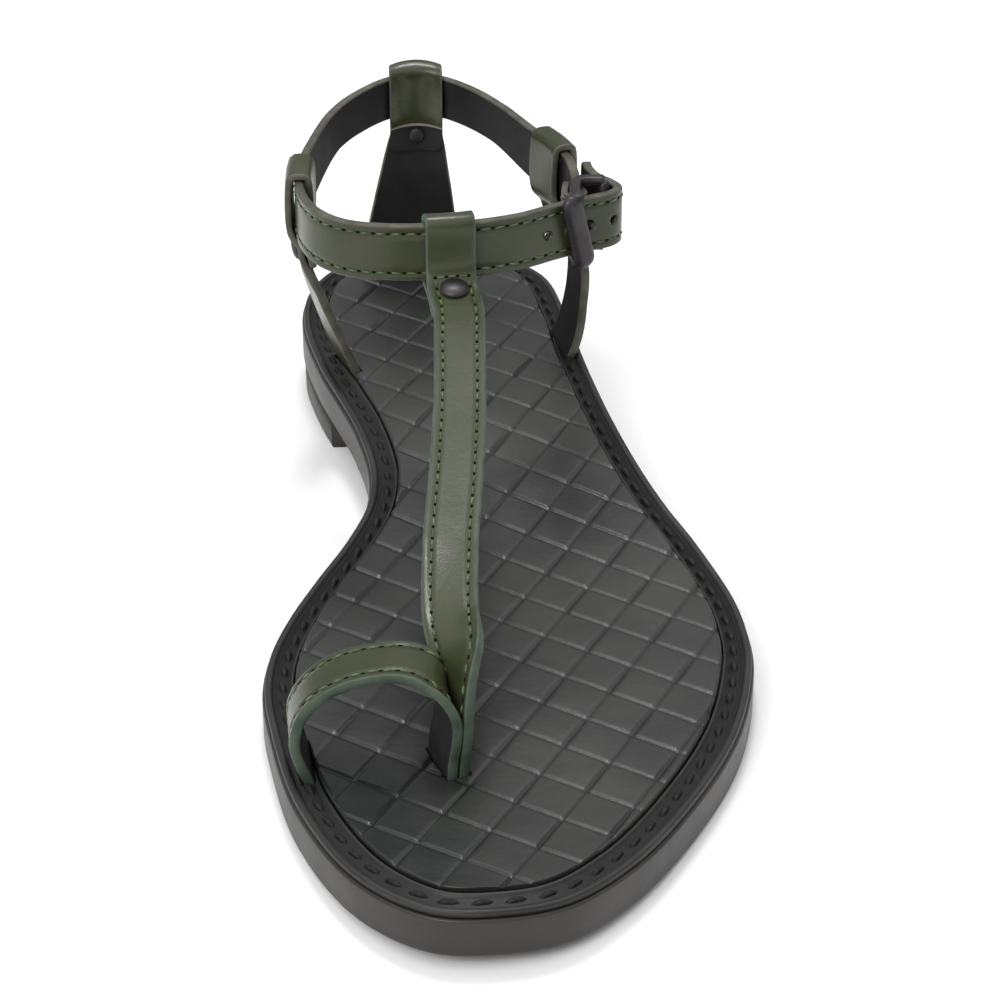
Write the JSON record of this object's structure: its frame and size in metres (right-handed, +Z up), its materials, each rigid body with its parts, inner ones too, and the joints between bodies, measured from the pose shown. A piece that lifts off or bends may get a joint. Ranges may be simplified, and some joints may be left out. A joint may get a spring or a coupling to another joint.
{
  "type": "t-strap sandal",
  "caption": "Flat leather sandal with a ring strap at the toe, a strap along the instep, side and heel straps looped over a buckled ankle strap, and a weave-embossed footbed.",
  "frame": {"origin": "on the floor under the middle of the sole's length and width", "axes": "+Z up from the floor, -Y towards the toes, +X towards the outer side of the left foot"},
  "size_m": [0.0921, 0.25, 0.0675],
  "materials": {
    "sole_rubber": "satin",
    "footbed_leather": "embossed, satin",
    "strap_leather": "smooth, satin",
    "hardware": "dark, glossy"
  },
  "bodies": {
    "root": {"outsole": "sole_rubber", "heel_block": "sole_rubber", "welt": "footbed_leather", "footbed": "footbed_leather", "t_strap": "strap_leather", "toe_strap": "strap_leather", "ankle_strap": "strap_leather", "inner_strap": "strap_leather", "outer_strap": "strap_leather", "heel_counter": "strap_leather", "buckle_frame": "hardware", "buckle_prong": "hardware", "rivet_front": "hardware", "rivet_inner": "hardware", "rivet_outer": "hardware", "rivet_heel": "hardware"}
  },
  "joints": []
}
